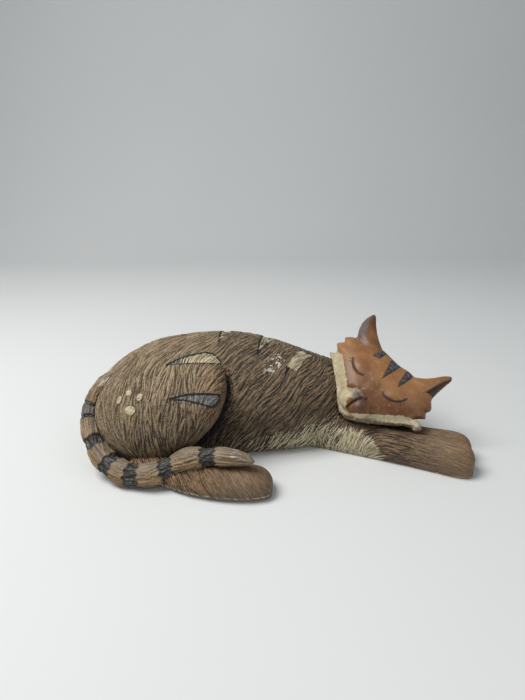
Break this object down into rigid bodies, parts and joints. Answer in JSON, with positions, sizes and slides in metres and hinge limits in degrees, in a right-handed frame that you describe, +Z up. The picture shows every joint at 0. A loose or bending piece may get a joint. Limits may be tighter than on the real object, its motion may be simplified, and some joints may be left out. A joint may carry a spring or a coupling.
{
  "type": "cat figurine",
  "caption": "sleeping cat figurine, ceramic, combed brown body with a smooth orange face turned up, resting on its outstretched forelegs, tail wrapped over the hind paw",
  "frame": {"origin": "middle of the figure's bounding box, on the surface it rests on", "axes": "+X along the body from the rump to the forepaws, +Y from the belly side towards the spine, +Z up"},
  "size_m": [0.2568, 0.1303, 0.08],
  "materials": {
    "combed_brown": "matte",
    "banded_tail": "matte",
    "face_orange": "satin",
    "cream_slip": "matte"
  },
  "bodies": {
    "root": {"torso_shell": "combed_brown", "near_haunch": "combed_brown", "hind_paw": "combed_brown", "near_foreleg": "combed_brown", "far_foreleg": "combed_brown", "tail": "banded_tail", "head_shell": "face_orange", "upper_ear": "face_orange", "lower_ear": "face_orange", "cheek_ruff": "cream_slip", "paw_mark_dots": "cream_slip"}
  },
  "joints": []
}
